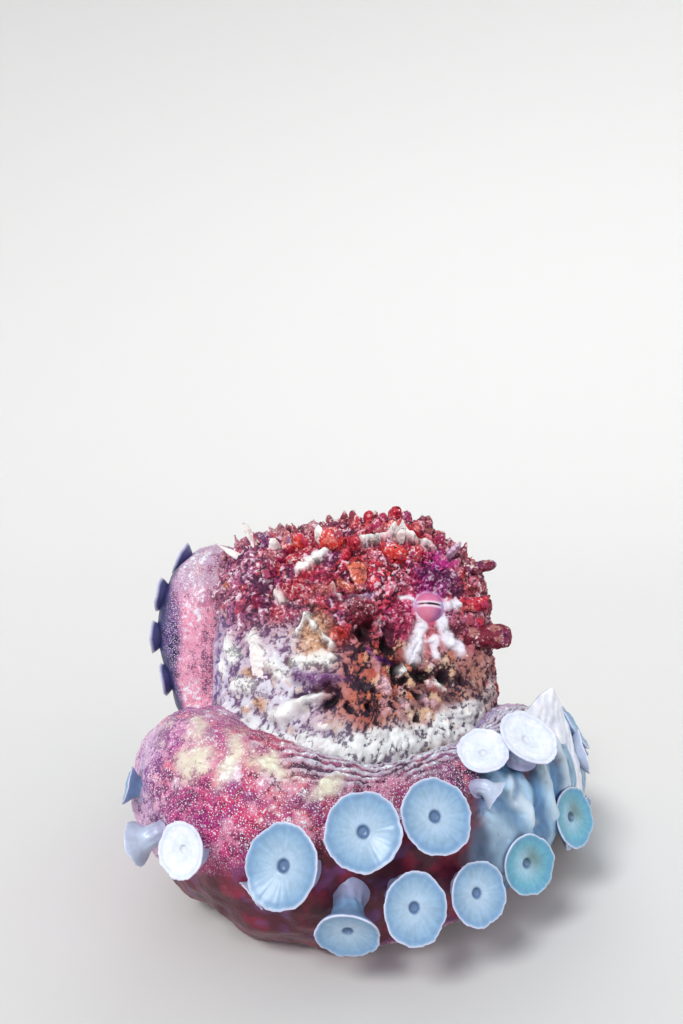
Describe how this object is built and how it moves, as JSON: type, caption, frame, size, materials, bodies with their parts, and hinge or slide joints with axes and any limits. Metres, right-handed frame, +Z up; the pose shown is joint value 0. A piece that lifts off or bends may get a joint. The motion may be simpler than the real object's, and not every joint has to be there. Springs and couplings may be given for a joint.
{
  "type": "octopus",
  "caption": "Life-size octopus at rest: knobbly domed mantle and head drawn up over coiled arms, one arm wrapped round the front with its suckers facing out.",
  "frame": {"origin": "on the floor under the middle of the head and mantle, on the flat of the web's underside", "axes": "+Z up from the floor; +X from the mantle towards the head; -Y is the animal's right side, which the picture shows"},
  "size_m": [0.2329, 0.266, 0.1688],
  "materials": {
    "body_skin": "wet, knobbly skin in crimson, orange, brown and white, semi-gloss",
    "arm_skin": "wet skin, magenta and purple with fine white dots and cream blotches, semi-gloss",
    "sucker": "pale ice-blue, smooth, satin, slightly translucent",
    "eye": "glossy salmon-pink eye with a dark level slit"
  },
  "bodies": {
    "root": {"mantle": "body_skin", "head": "body_skin", "eye_right": "eye", "eye_left": "eye", "funnel": "body_skin", "web": "arm_skin", "arm_right_4_base": "arm_skin", "arm_right_4_front": "arm_skin", "arm_right_4_side": "arm_skin", "arm_right_4_tip": "arm_skin", "arm_left_4_base": "arm_skin", "arm_left_4_rise": "arm_skin", "arm_left_4_tip": "arm_skin", "arm_right_3_base": "arm_skin", "arm_right_3_middle": "arm_skin", "arm_right_3_tip": "arm_skin", "arm_left_3_base": "arm_skin", "arm_left_3_middle": "arm_skin", "arm_left_3_tip": "arm_skin", "arm_right_2_base": "arm_skin", "arm_right_2_middle": "arm_skin", "arm_right_2_tip": "arm_skin", "arm_left_2_base": "arm_skin", "arm_left_2_middle": "arm_skin", "arm_left_2_tip": "arm_skin", "arm_right_1_base": "arm_skin", "arm_right_1_middle": "arm_skin", "arm_right_1_tip": "arm_skin", "arm_left_1_base": "arm_skin", "arm_left_1_middle": "arm_skin", "arm_left_1_tip": "arm_skin"}
  },
  "joints": []
}
